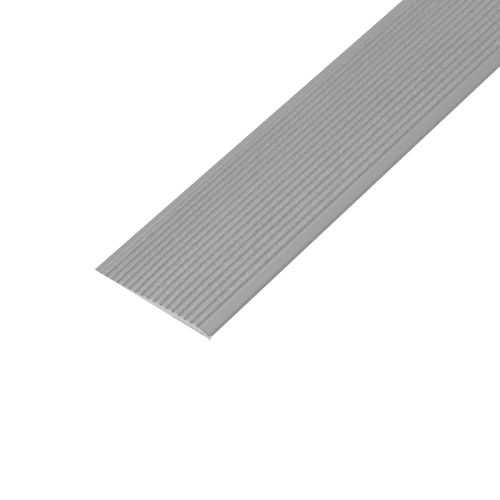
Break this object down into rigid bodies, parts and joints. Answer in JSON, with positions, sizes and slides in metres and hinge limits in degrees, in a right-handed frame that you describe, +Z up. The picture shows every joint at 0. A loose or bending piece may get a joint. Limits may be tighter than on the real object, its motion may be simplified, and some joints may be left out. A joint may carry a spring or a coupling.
{
  "type": "threshold strip",
  "caption": "Low domed aluminium threshold strip with lengthwise anti-slip ribs, plain bevelled sides and self-adhesive tapes under peel-off liners.",
  "frame": {"origin": "on the floor plane, under the middle of the strip's length and width", "axes": "+X along the strip, +Y across it, +Z up out of the floor"},
  "size_m": [0.9, 0.04, 0.003],
  "materials": {
    "anodised_aluminium": "satin silver anodised, bare saw-cut ends",
    "adhesive_foam": "matt closed-cell foam",
    "release_liner": "smooth siliconised paper"
  },
  "bodies": {
    "strip": {"profile": "anodised_aluminium", "tape_front": "adhesive_foam", "tape_rear": "adhesive_foam"},
    "liner_front": {"liner_front": "release_liner"},
    "liner_rear": {"liner_rear": "release_liner"}
  },
  "joints": [
    {"name": "pull_front", "type": "slide", "parent": "strip", "child": "liner_front", "axis": [-1, 0, 0], "range_m": [0, 0.3]},
    {"name": "pull_rear", "type": "slide", "parent": "strip", "child": "liner_rear", "axis": [-1, 0, 0], "range_m": [0, 0.3]}
  ]
}
